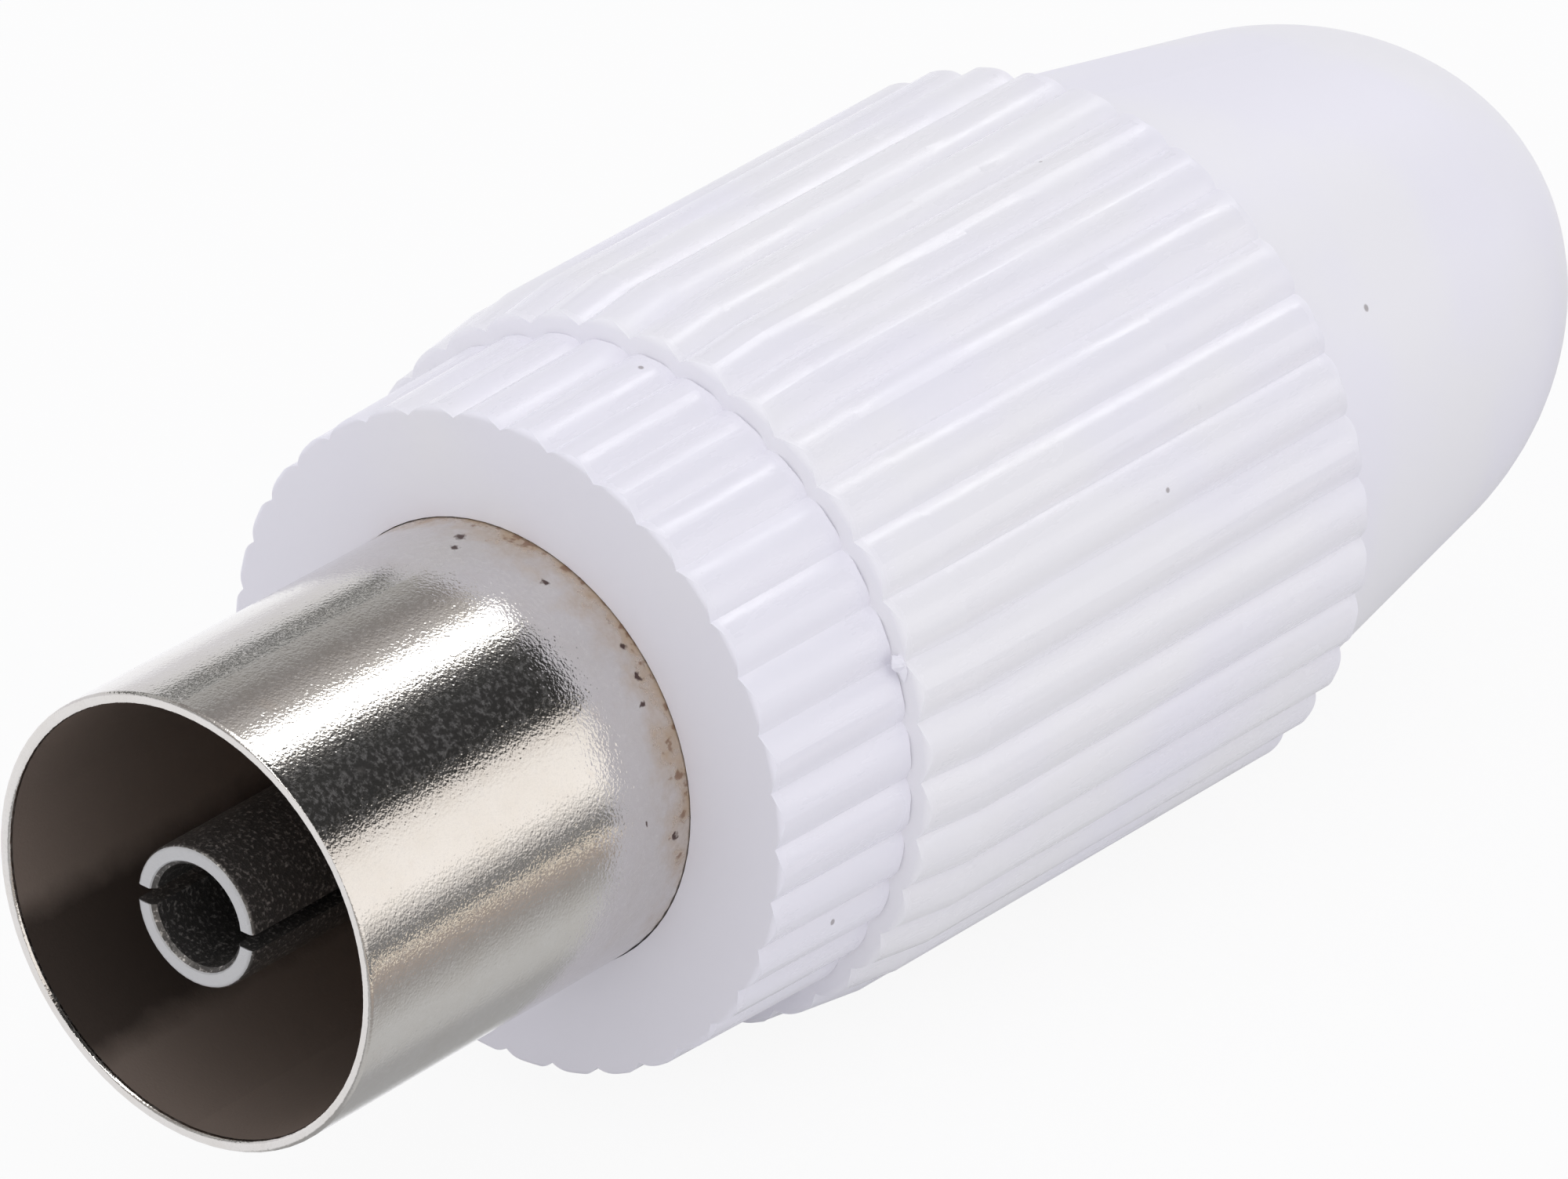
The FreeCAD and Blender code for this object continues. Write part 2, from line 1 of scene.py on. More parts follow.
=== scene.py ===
"""Looks of the aerial socket: finishes, screw threads, moulding flash and the stage.

The socket's axis runs along Y, its mouth is at the origin and faces -Y, and +Z is up.
Angles round the axis are in degrees from +Z towards +X.
"""

import math

import bmesh
import bpy
from bpy.props import FloatProperty, FloatVectorProperty, IntProperty, PointerProperty
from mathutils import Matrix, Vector


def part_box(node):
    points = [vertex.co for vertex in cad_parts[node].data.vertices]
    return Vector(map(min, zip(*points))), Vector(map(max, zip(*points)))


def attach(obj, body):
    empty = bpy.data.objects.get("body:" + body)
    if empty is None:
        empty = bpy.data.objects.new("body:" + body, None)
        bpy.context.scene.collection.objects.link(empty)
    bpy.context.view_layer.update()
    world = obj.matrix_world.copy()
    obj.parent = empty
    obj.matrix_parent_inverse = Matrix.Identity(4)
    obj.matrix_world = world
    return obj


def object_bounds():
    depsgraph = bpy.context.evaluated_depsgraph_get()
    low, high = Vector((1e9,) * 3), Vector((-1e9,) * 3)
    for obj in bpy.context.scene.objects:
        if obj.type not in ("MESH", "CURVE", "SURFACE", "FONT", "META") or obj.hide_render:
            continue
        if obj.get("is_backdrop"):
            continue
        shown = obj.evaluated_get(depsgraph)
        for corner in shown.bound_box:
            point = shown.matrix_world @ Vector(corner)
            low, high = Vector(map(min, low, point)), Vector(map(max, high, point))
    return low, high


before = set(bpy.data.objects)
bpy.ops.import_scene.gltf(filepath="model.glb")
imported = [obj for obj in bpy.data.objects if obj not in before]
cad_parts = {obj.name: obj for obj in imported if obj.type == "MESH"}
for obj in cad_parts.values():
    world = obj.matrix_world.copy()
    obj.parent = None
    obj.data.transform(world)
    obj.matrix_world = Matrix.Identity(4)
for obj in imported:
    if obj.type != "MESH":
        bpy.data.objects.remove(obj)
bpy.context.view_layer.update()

bl_info = {
    "name": "Aerial Socket",
    "version": (1, 0, 0),
    "blender": (4, 5, 0),
    "location": "3D View > Sidebar > Aerial Socket",
    "description": "Finishes and small pieces of a coaxial aerial socket",
    "category": "Object",
}

MM = 0.001
# Faces that meet at a larger angle than this have a sharp edge between them.
SHARP_EDGE = 35

# Sizes below are in millimetres where they don't say MM. First come radii that the solids'
# boxes don't give. What is nearer to the axis than TUBE_WALL is the inside of the tube.
TUBE_RADIUS = 5.10
TUBE_WALL = 4.88
SPIGOT_ROOT = 6.87
SHELL_ROOT = 7.28
SCREW_ROOT = 0.93

# Radius over the tips of the ribs: of the collar at its front and rear, and of the shell by
# the distance behind the seam.
COLLAR_TIPS = (7.58, 7.72)
SHELL_TIPS = ((0.0, 8.15), (1.80, 8.37), (14.92, 8.52))
SHELL_RIBS_END = 29.2

# Ridges of the threads: width at the root and at the crest.
HOUSING_RIDGE = (0.80 * MM, 0.22 * MM)
SCREW_RIDGE = (0.30 * MM, 0.06 * MM)
# Share of a turn over which a ridge thins out at each end, and its height there.
RUN_OUT = 0.25
THINNEST = 0.04

# The threads start this far behind the seam. The spigot's ends as far before the spigot's end,
# and the shell's at SHELL_THREAD_END behind the seam.
THREAD_INSET = 0.7
SHELL_THREAD_END = 8.0
# Small screws: point without a thread, height of the head, plain neck under it, and the points
# in one turn of the thread.
SCREW_POINT = 0.45
SCREW_HEAD = 1.0
SCREW_NECK = 0.25
SCREW_STEPS = 36

# Middle of the flake of flash: angle round the axis, radius, and distance before the seam.
FLASH_PLACE = (70.4, 7.86, 0.05)

# Level of the patches at which half of the plastic is the cool kind.
COLLAR_COOL = 0.75
SHELL_COOL = 0.50

# How closely the marks on steel follow each other along X, Y and Z.
ROLLED_MARKS = (9.0, 0.6, 9.0)
TURNED_MARKS = (1.2, 1.2, 14.0)

# Dark specks: angle round the axis, radius, distance from the mouth, and size.
SHELL_SPECKS = ((58.0, 7.44, 31.89, 0.11), (66.0, 8.42, 22.96, 0.08))
COLLAR_SPECKS = ((111.9, 7.59, 12.47, 0.09), (5.5, 7.70, 13.81, 0.08))
TUBE_SPECKS = (
    (-4.6, TUBE_RADIUS, 9.31, 0.17), (-2.4, TUBE_RADIUS, 8.84, 0.15),
    (21.3, TUBE_RADIUS, 9.34, 0.13), (44.8, TUBE_RADIUS, 9.79, 0.10),
    (52.4, TUBE_RADIUS, 9.73, 0.11), (58.4, TUBE_RADIUS, 9.49, 0.09),
    (92.9, TUBE_RADIUS, 9.64, 0.12), (85.1, TUBE_RADIUS, 8.74, 0.07),
)

# Brown film inside the tube, with bands of painted reflection and painted shade of the contact
# round it: share of a turn from straight down, and tone.
FILM_AND_REFLECTION = (
    (0.0, 0.84), (0.085, 0.84), (0.11, 0.10), (0.20, 0.10), (0.225, 0.92), (0.30, 0.80),
    (0.42, 0.95), (0.50, 0.85), (0.90, 0.90),
)


class Flow:
    """What leaves a node, so that shader maths reads as plain sums."""

    def __init__(self, graph, socket):
        self.graph = graph
        self.socket = socket

    def __add__(self, other):
        return self.graph.maths("ADD", self, other)

    def __sub__(self, other):
        return self.graph.maths("SUBTRACT", self, other)

    def __rsub__(self, other):
        return self.graph.maths("SUBTRACT", other, self)

    def __mul__(self, other):
        return self.graph.maths("MULTIPLY", self, other)

    def __truediv__(self, other):
        return self.graph.maths("DIVIDE", self, other)

    def __pow__(self, other):
        return self.graph.maths("POWER", self, other)

    def __abs__(self):
        return self.graph.maths("ABSOLUTE", self)

    def __lt__(self, other):
        return self.graph.maths("LESS_THAN", self, other)

    def __gt__(self, other):
        return self.graph.maths("GREATER_THAN", self, other)

    __radd__ = __add__
    __rmul__ = __mul__


class Graph:
    """The nodes of one finish."""

    def __init__(self, tree):
        self.tree = tree
        tree.nodes.clear()

    def node(self, kind, settings=None, inputs=None, output=0):
        """Add a node, set it up, feed its sockets and return what leaves it."""
        made = self.tree.nodes.new(kind)
        for name, value in (settings or {}).items():
            if name == "stops":
                self._set_stops(made.color_ramp, value)
            else:
                setattr(made, name, value)
        for name, value in (inputs or {}).items():
            if isinstance(value, Flow):
                self.tree.links.new(value.socket, made.inputs[name])
            else:
                made.inputs[name].default_value = value
        return Flow(self, made.outputs[output]) if made.outputs else None

    def _set_stops(self, ramp, stops):
        while len(ramp.elements) > 1:
            ramp.elements.remove(ramp.elements[-1])
        for index, (place, colour) in enumerate(stops):
            stop = ramp.elements.new(place) if index else ramp.elements[0]
            stop.position = place
            stop.color = (*colour, 1.0) if len(colour) == 3 else colour

    def maths(self, operation, *terms):
        """What a Math node makes of the terms."""
        return self.node("ShaderNodeMath", {"operation": operation}, dict(enumerate(terms)))

    def mix(self, share, first, second):
        """A colour between two colours."""
        pair = [c if isinstance(c, Flow) else (*c, 1.0) for c in (first, second)]
        inputs = {0: share, 6: pair[0], 7: pair[1]}
        return self.node("ShaderNodeMix", {"data_type": "RGBA"}, inputs, output=2)

    def step(self, value, low, high):
        """0 below low, 1 above high and a soft step between them."""
        settings = {"interpolation_type": "SMOOTHSTEP"}
        inputs = {"Value": value, "From Min": low, "From Max": high}
        return self.node("ShaderNodeMapRange", settings, inputs)

    def place(self):
        """The point on the piece in millimetres, and its three coordinates."""
        here = self.node("ShaderNodeTexCoord", output="Object")
        settings = {"operation": "SCALE"}
        point = self.node("ShaderNodeVectorMath", settings, {0: here, "Scale": 1 / MM})
        return point, *self.split(point)

    def split(self, vector):
        """The three numbers of a vector."""
        outputs = self.node("ShaderNodeSeparateXYZ", inputs={0: vector}).socket.node.outputs
        return [Flow(self, socket) for socket in outputs]

    def vector(self, x, y, z):
        """A vector of three numbers."""
        return self.node("ShaderNodeCombineXYZ", inputs={0: x, 1: y, 2: z})

    def turn(self, x, z):
        """The share of a turn round Y: 0.5 is up, and +X lies after it."""
        return self.maths("ARCTAN2", x, z) / (2 * math.pi) + 0.5

    def noise(self, point, scale, detail=3.0, rough=0.5):
        """Soft noise, from 0 to 1."""
        inputs = {"Vector": point, "Scale": scale, "Detail": detail, "Roughness": rough}
        return self.node("ShaderNodeTexNoise", inputs=inputs)

    def cells(self, point, scale):
        """The distance to the nearest of many scattered points."""
        inputs = {"Vector": point, "Scale": scale}
        return self.node("ShaderNodeTexVoronoi", inputs=inputs, output="Distance")

    def near(self, point, spot, radius):
        """1 in the inner half of a round spot and 0 outside it."""
        settings = {"operation": "DISTANCE"}
        away = self.node("ShaderNodeVectorMath", settings, {0: point, 1: spot}, output="Value")
        return 1 - self.step(away, radius / 2, radius)

    def bump(self, height, depth, normal=None):
        """Relief of so many millimetres."""
        inputs = {"Height": height, "Distance": depth * MM, "Strength": 1.0}
        if normal:
            inputs["Normal"] = normal
        return self.node("ShaderNodeBump", inputs=inputs)

    def largest(self, first, *others):
        """The largest of some values at each point."""
        for other in others:
            first = self.maths("MAXIMUM", first, other)
        return first

    def smallest(self, first, *others):
        """The smallest of some values at each point."""
        for other in others:
            first = self.maths("MINIMUM", first, other)
        return first

    def surface(self, inputs):
        """The shader of the finish, with constants set on its own sockets."""
        shader = self.node("ShaderNodeBsdfPrincipled", inputs=inputs)
        self.node("ShaderNodeOutputMaterial", inputs={"Surface": shader})

    def rays(self):
        """1 for rays from the camera, for mirrored rays and for rays through glass, and else 0."""
        outputs = self.node("ShaderNodeLightPath").socket.node.outputs
        names = ("Is Camera Ray", "Is Glossy Ray", "Is Transmission Ray")
        return [Flow(self, outputs[name]) for name in names]

    def mix_shaders(self, share, first, second):
        """A shader between two shaders."""
        return self.node("ShaderNodeMixShader", inputs={0: share, 1: first, 2: second})


def finish(name):
    """An empty material and the graph that fills it."""
    material = bpy.data.materials.new(name)
    material.use_nodes = True
    return material, Graph(material.node_tree)


def dress(material, *nodes):
    """Give CAD nodes a finish."""
    for name in nodes:
        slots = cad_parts[name].data.materials
        slots.clear()
        slots.append(material)


def around(angle, radius, along):
    """A point round the socket's axis."""
    turn = math.radians(angle)
    return radius * math.sin(turn), along, radius * math.cos(turn)


def spots_of(specks):
    """The middle and the size of each speck of a table."""
    return [(around(*place), size) for *place, size in specks]


class Colours(bpy.types.PropertyGroup):
    """Colours a user would change."""

    plastic_cool: FloatVectorProperty(
        name="Cool plastic", description="Main colour of the housing",
        subtype="COLOR", default=(0.882, 0.870, 0.928), min=0, max=1)
    plastic_warm: FloatVectorProperty(
        name="Warm plastic", description="Patches where the housing is less blue",
        subtype="COLOR", default=(0.898, 0.890, 0.908), min=0, max=1)
    nickel: FloatVectorProperty(
        name="Nickel", description="Plating of the tube and its cup",
        subtype="COLOR", default=(0.70, 0.68, 0.655), min=0, max=1)
    rust: FloatVectorProperty(
        name="Rust", description="Stain at the foot of the tube",
        subtype="COLOR", default=(0.47, 0.335, 0.205), min=0, max=1)
    contact: FloatVectorProperty(
        name="Contact", description="Plating of the centre contact",
        subtype="COLOR", default=(0.60, 0.57, 0.54), min=0, max=1)
    laminate: FloatVectorProperty(
        name="Laminate", description="Paper laminate of the insulating disc",
        subtype="COLOR", default=(0.10, 0.058, 0.035), min=0, max=1)
    steel: FloatVectorProperty(
        name="Steel", description="Zinc-plated pressings and screws",
        subtype="COLOR", default=(0.52, 0.53, 0.55), min=0, max=1)


class Sizes(bpy.types.PropertyGroup):
    """Sizes of the pieces that are added to the solids."""

    housing_pitch: FloatProperty(
        name="Housing pitch", description="Pitch of the thread between collar and shell",
        unit="LENGTH", default=1.5 * MM)
    spigot_crest: FloatProperty(
        name="Spigot crest", description="Crest radius of the collar's thread",
        unit="LENGTH", default=7.16 * MM)
    shell_crest: FloatProperty(
        name="Shell crest", description="Crest radius of the thread inside the shell",
        unit="LENGTH", default=6.98 * MM)
    screw_pitch: FloatProperty(
        name="Screw pitch", description="Pitch of the small screws",
        unit="LENGTH", default=0.4 * MM)
    screw_crest: FloatProperty(
        name="Screw crest", description="Crest radius of the small screws",
        unit="LENGTH", default=0.99 * MM)
    thread_steps: IntProperty(
        name="Thread steps", description="Points in one turn of a thread", default=72, min=12)


class Studio(bpy.types.PropertyGroup):
    """Camera and lights."""

    camera_place: FloatVectorProperty(
        name="Camera", description="Where the camera stands",
        subtype="TRANSLATION", default=(0.143346, -0.156805, 0.117804), precision=6)
    camera_turn: FloatVectorProperty(
        name="Camera turn", description="Which way the camera looks", subtype="EULER",
        default=[math.radians(angle) for angle in (62.5751, -0.1009, 39.1685)], precision=6)
    lens: FloatProperty(
        name="Lens", description="Focal length on a 36 mm wide image", default=272.03)
    lamp_power: FloatProperty(
        name="Lamp", description="Power of the large soft lamp", unit="POWER", default=0.14)
    sky: FloatProperty(
        name="Sky", description="Strength of the light from all round", default=0.90)


def linked(name, data):
    """An object that shows the data."""
    made = bpy.data.objects.new(name, data)
    bpy.context.collection.objects.link(made)
    return made


def mesh_data(mesh, name):
    """A finished mesh as Blender keeps it."""
    data = bpy.data.meshes.new(name)
    mesh.to_mesh(data)
    mesh.free()
    return data


def closed_piece(name, mesh, rows):
    """An object whose skin closes rows of points, smooth but for its sharp edges."""
    for before, after in zip(rows, rows[1:]):
        for index in range(len(before)):
            following = (index + 1) % len(before)
            mesh.faces.new((before[index], after[index], after[following], before[following]))
    mesh.faces.new(rows[0])
    mesh.faces.new(reversed(rows[-1]))
    bmesh.ops.recalc_face_normals(mesh, faces=mesh.faces)
    data = mesh_data(mesh, name)
    data.shade_smooth()
    data.set_sharp_from_angle(angle=math.radians(SHARP_EDGE))
    return linked(name, data)


def thread_piece(name, place_of, radii, reach, pitch, ridge, steps):
    """A screw thread: one ridge wound round an axis, thinned out at both ends.

    place_of gives a point from its angle, radius and height along the axis, radii are those
    of root and crest, reach is the start and the end, and ridge the width at root and crest.
    """
    (root, crest), (start, end), (base, tip) = radii, reach, ridge
    mesh = bmesh.new()
    turns = (end - start) / pitch
    count = int(round(turns * steps))
    rows = []
    for index in range(count + 1):
        angle = 2 * math.pi * turns * index / count
        height = start + pitch * angle / (2 * math.pi)
        fade = min(1.0, index / (RUN_OUT * steps), (count - index) / (RUN_OUT * steps))
        top = root + (crest - root) * max(fade, THINNEST)
        section = ((root, -base / 2), (top, -tip / 2), (top, tip / 2), (root, base / 2))
        rows.append([mesh.verts.new(place_of(angle, radius, height + off))
                     for radius, off in section])
    return closed_piece(name, mesh, rows)


def housing_axis(shift):
    """Points round the socket's axis, wound as a right-hand thread."""
    def point(angle, radius, height):
        turn = angle + shift
        return radius * math.sin(turn), height, radius * math.cos(turn)
    return point


def screw_axis(x, y):
    """Points round an upright screw, wound as a right-hand thread."""
    def point(angle, radius, height):
        return x + radius * math.cos(angle), y + radius * math.sin(angle), height
    return point


def flash_piece(name, angle, radius, along):
    """A ragged flake of moulding flash on the collar's rear edge."""
    half_length, half_width, slant = 0.20 * MM, 0.30 * MM, 0.4
    thickness, sunk, ripple = 0.16 * MM, 0.05 * MM, 0.02 * MM
    rings, spokes = 5, 18
    mesh = bmesh.new()
    rows = []
    for ring in range(1, rings + 1):
        share = ring / rings
        height = thickness * (1 - share ** 2) - sunk
        row = []
        for index in range(spokes):
            turn = 2 * math.pi * index / spokes
            ragged = share * (1 + 0.22 * math.sin(3 * turn + 0.7) + 0.14 * math.sin(5 * turn + 2.1))
            back = half_length * ragged * math.sin(turn)
            across = half_width * ragged * math.cos(turn) + slant * back
            out = radius + height + ripple * math.sin(4 * turn + 3 * share)
            place = around(angle + math.degrees(across / radius), out, along + back)
            row.append(mesh.verts.new(place))
        rows.append(row)
    return closed_piece(name, mesh, rows)


def plastic_finish(name, colours, cool_level, ribs, tips, seam, specks):
    """White plastic with drawn streaks along the ribs, soft patches and a few dark specks.

    ribs is where the ribs start and end, and tips gives the radius over them at some places
    along the axis. The valleys between the ribs and the seam are painted paler, a painted light
    that stands in for the light which comes through real plastic there.
    """
    streak_white, painted_fill_white, dirt = (0.96, 0.96, 0.97), (0.965, 0.955, 0.995), (0.16, 0.12, 0.11)
    material, graph = finish(name)
    point, x, y, z = graph.place()
    streaks = graph.noise(graph.vector(x * 5.0, y * 0.35, z * 5.0), 1.0, detail=4.0, rough=0.6)
    dashes = graph.noise(graph.vector(x * 8.0, y * 1.6, z * 8.0), 1.0, detail=2.0)
    grain = graph.noise(point, 9.0, detail=2.0)
    worn = graph.noise(graph.vector(x * 0.8, y * 0.22, z * 0.8), 1.0, detail=2.0)
    patches = graph.noise(point, 0.16, detail=2.0)
    warmth = graph.step(patches, cool_level - 0.12, cool_level + 0.12)
    colour = graph.mix(warmth, colours.plastic_cool, colours.plastic_warm)
    colour = graph.mix(graph.step(streaks, 0.62, 0.80) * 0.08, colour, streak_white)
    (first, last), fade = ribs, 0.3
    ribbed = graph.step(y, first, first + fade) - graph.step(y, last - fade, last)
    crest = graph.smallest(*(
        (y - here) * ((to - radius) / (there - here)) + radius
        for (here, radius), (there, to) in zip(tips, tips[1:])))
    # Painted light: the valleys between the ribs and the seam are mixed towards a paler white, a
    # painted fill against the shade in them.
    valley_fill_light = graph.step(crest - (x ** 2.0 + z ** 2.0) ** 0.5, 0.08, 0.26) * ribbed
    seam_fill_light = 1 - graph.step(abs(y - seam), 0.02, 0.30)
    colour = graph.mix(graph.largest(valley_fill_light * 0.40, seam_fill_light * 0.25), colour, painted_fill_white)
    dark = graph.largest(
        1 - graph.step(graph.cells(point, 0.30), 0.014, 0.022),
        *(graph.near(point, spot, size) for spot, size in specks))
    colour = graph.mix(dark * 0.6, colour, dirt)
    normal = graph.bump((streaks - 0.5) * ribbed, 0.002)
    normal = graph.bump((grain - 0.5) * (0.08 + 0.92 * ribbed), 0.0024, normal)
    polish = 0.31 - 0.07 * graph.step(dashes, 0.40, 0.60) - 0.14 * graph.step(worn, 0.40, 0.64)
    graph.surface({
        "Base Color": colour,
        "Roughness": 0.50 - ribbed * polish,
        "IOR": 1.50,
        "Normal": normal,
    })
    return material


def nickel_finish(colours, foot):
    """Bright nickel with fine pits, brown film inside with bands of painted reflection and shade,
    and rust where it meets the collar.
    """
    yellowed, crust_brown = (0.60, 0.56, 0.50), (0.20, 0.10, 0.055)
    speck_black = (0.036, 0.008, 0.006)
    film_in_shade, film_in_light = (0.075, 0.058, 0.048), (0.44, 0.355, 0.30)
    rim, drift = 0.12, 0.30
    material, graph = finish("nickel_plate")
    point, x, y, z = graph.place()
    inside = ((x ** 2.0 + z ** 2.0) ** 0.5 < TUBE_WALL) * (y > rim)
    peel = graph.noise(point, 6.0, detail=2.0)
    pits = graph.noise(point, 13.0, detail=1.5, rough=0.6)
    dents = graph.step(graph.cells(point, 6.0), 0.0, 0.30)
    clouds = graph.noise(point, 0.9, detail=4.0, rough=0.6)
    blots = graph.noise(point, 1.3, detail=4.0, rough=0.6)
    dots = graph.noise(point, 4.5, detail=2.0)
    haze = graph.step(graph.noise(point, 8.0, rough=0.7), 0.46, 0.66)
    colour = graph.mix(graph.step(clouds, 0.35, 0.75) * 0.25, colours.nickel, yellowed)
    top_side = graph.step(x * 0.45 + z * 0.9, -2.5, 5.0)
    ring = graph.step(y, foot - 1.6, foot + 0.2) * (0.45 + 0.55 * top_side)
    stain = graph.step(blots + ring * 0.55, 0.60, 1.25)
    colour = graph.mix(stain * 0.9, colour, colours.rust)
    crust = graph.step(dots + stain * 0.35, 0.80, 0.95)
    colour = graph.mix(crust * 0.8, colour, crust_brown)
    # Noise moves each point, so that the specks are ragged. Half of its reach is taken back.
    stray = graph.node("ShaderNodeTexNoise", inputs={"Vector": point, "Scale": 6.0}, output="Color")
    shifted = graph.node("ShaderNodeVectorMath", {"operation": "MULTIPLY_ADD"},
                         {0: stray, 1: (drift, drift, drift), 2: point})
    dark = graph.largest(*(graph.near(shifted, [c + drift / 2 for c in spot], size)
                           for spot, size in spots_of(TUBE_SPECKS)))
    colour = graph.mix(dark * 0.95, colour, speck_black)
    # Painted reflection and shade: the film's tone changes round the axis in bands that stand for
    # the contact mirrored in the wall, darkest where its shade falls.
    stops = [(share, (tone, tone, tone)) for share, tone in FILM_AND_REFLECTION]
    film_and_reflection = graph.node("ShaderNodeValToRGB", {"stops": stops}, {0: graph.turn(x, z) + 0.02 * clouds})
    colour = graph.mix(inside, colour, graph.mix(film_and_reflection, film_in_shade, film_in_light))
    normal = graph.bump(peel, 0.0016)
    normal = graph.bump(pits, 0.0065, normal)
    normal = graph.bump(dents, 0.0025, normal)
    dull = graph.largest(haze * 0.11, stain * 0.5, crust * 0.8, dark, inside * 0.5)
    rough = graph.largest(0.055 + 0.04 * clouds, stain * 0.45, dark * 0.6, inside * 0.30)
    graph.surface({
        "Base Color": colour,
        "Metallic": 1 - dull,
        "Roughness": rough,
        "Normal": normal,
    })
    return material


def contact_finish(colours, mouth):
    """Dull plating with a grainy turned side and a sawn, matte end face."""
    sawn_grey, sawn_depth, dark_share = (0.54, 0.54, 0.54), 0.03, 0.20
    material, graph = finish("contact_metal")
    point, x, y, z = graph.place()
    grains = graph.noise(point, 11.0, rough=0.6)
    rings = graph.noise(graph.vector(x * 0.3, y * 9.0, z * 0.3), 1.0, detail=2.0)
    face = y < mouth + sawn_depth
    tarnish = [c * dark_share for c in colours.contact]
    side = graph.mix(graph.step(grains, 0.50, 0.75), tarnish, colours.contact)
    normal = graph.bump(grains, 0.020)
    normal = graph.bump(rings, 0.004, normal)
    graph.surface({
        "Base Color": graph.mix(face, side, sawn_grey),
        "Metallic": 0.75 - face * 0.35,
        "Roughness": graph.largest(0.26 + 0.15 * grains, face * 0.50),
        "Normal": normal,
    })
    return material


def laminate_finish(colours):
    """Punched paper laminate: dark brown with a faint cloth of fibres and some dust."""
    dust_grey, fibre_light = (0.25, 0.22, 0.20), 1.9
    material, graph = finish("brown_laminate")
    point, x, y, z = graph.place()
    fibres = graph.noise(graph.vector(x * 2.0, y * 9.0, z * 6.0), 1.0, detail=4.0, rough=0.6)
    dust = graph.noise(point, 5.0)
    pale = [c * fibre_light for c in colours.laminate]
    colour = graph.mix(graph.step(fibres, 0.3, 0.8), colours.laminate, pale)
    graph.surface({
        "Base Color": graph.mix(graph.step(dust, 0.62, 0.78) * 0.2, colour, dust_grey),
        "Roughness": 0.42 + 0.2 * fibres,
        "Normal": graph.bump(fibres, 0.008),
    })
    return material


def steel_finish(name, colours, fineness):
    """Zinc-plated steel with fine marks of rolling, or of turning for the screws.

    fineness says how closely the marks follow each other along X, Y and Z.
    """
    cloud_grey, mark_grey = (0.40, 0.39, 0.36), (0.68, 0.68, 0.70)
    material, graph = finish(name)
    point, x, y, z = graph.place()
    drawn = graph.vector(*(part * close for part, close in zip((x, y, z), fineness)))
    marks = graph.noise(drawn, 1.0)
    clouds = graph.noise(point, 1.3, detail=4.0, rough=0.6)
    colour = graph.mix(graph.step(clouds, 0.35, 0.7) * 0.5, colours.steel, cloud_grey)
    graph.surface({
        "Base Color": graph.mix(graph.step(marks, 0.55, 0.8) * 0.3, colour, mark_grey),
        "Metallic": 1.0,
        "Roughness": 0.26 + 0.22 * clouds,
        "Normal": graph.bump(marks, 0.004),
    })
    return material


class AERIAL_OT_housing(bpy.types.Operator):
    """Finish the two plastic pieces, wind their screw threads and leave the moulding flash"""

    bl_idname = "aerial.housing"
    bl_label = "Plastic housing"

    def execute(self, context):
        sizes, colours = context.scene.aerial_sizes, context.scene.aerial_colours
        face, seam = (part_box(name)[0].y / MM for name in ("front_collar", "rear_shell"))
        collar = plastic_finish(
            "collar_plastic", colours, COLLAR_COOL, (face, seam),
            tuple(zip((face, seam), COLLAR_TIPS)), seam, spots_of(COLLAR_SPECKS))
        shell = plastic_finish(
            "shell_plastic", colours, SHELL_COOL, (seam, SHELL_RIBS_END),
            [(seam + behind, radius) for behind, radius in SHELL_TIPS], seam,
            spots_of(SHELL_SPECKS))
        dress(collar, "front_collar")
        dress(shell, "rear_shell")
        pitch, steps = sizes.housing_pitch, sizes.thread_steps
        start = (seam + THREAD_INSET) * MM
        spigot_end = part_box("front_collar")[1].y - THREAD_INSET * MM
        male = thread_piece(
            "spigot_thread", housing_axis(0.0), (SPIGOT_ROOT * MM, sizes.spigot_crest),
            (start, spigot_end), pitch, HOUSING_RIDGE, steps)
        female = thread_piece(
            "shell_thread", housing_axis(math.pi), (SHELL_ROOT * MM, sizes.shell_crest),
            (start, (seam + SHELL_THREAD_END) * MM), pitch, HOUSING_RIDGE, steps)
        angle, radius, before = FLASH_PLACE
        flash = flash_piece("seam_flash", angle, radius * MM, (seam - before) * MM)
        for piece, material, body in (
                (male, collar, "collar"), (flash, collar, "collar"), (female, shell, "rear_shell")):
            piece.data.materials.append(material)
            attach(piece, body)
        return {"FINISHED"}


class AERIAL_OT_sleeve(bpy.types.Operator):
    """Finish the nickel-plated tube with its cup"""

    bl_idname = "aerial.sleeve"
    bl_label = "Nickel tube"

    def execute(self, context):
        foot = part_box("front_collar")[0].y / MM
        dress(nickel_finish(context.scene.aerial_colours, foot), "outer_sleeve")
        return {"FINISHED"}


class AERIAL_OT_contact(bpy.types.Operator):
    """Finish the centre contact and the disc that holds it"""

    bl_idname = "aerial.contact"
    bl_label = "Contact and disc"

    def execute(self, context):
        colours = context.scene.aerial_colours
        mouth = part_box("centre_contact")[0].y / MM
        dress(contact_finish(colours, mouth), "centre_contact")
        dress(laminate_finish(colours), "insulator_disc")
        return {"FINISHED"}


class AERIAL_OT_clamp(bpy.types.Operator):
    """Finish the earth frame and the strap of the cable clamp"""

    bl_idname = "aerial.clamp"
    bl_label = "Cable clamp"

    def execute(self, context):
        rolled = steel_finish("stamped_steel", context.scene.aerial_colours, ROLLED_MARKS)
        dress(rolled, "cable_frame", "clamp_strap")
        return {"FINISHED"}


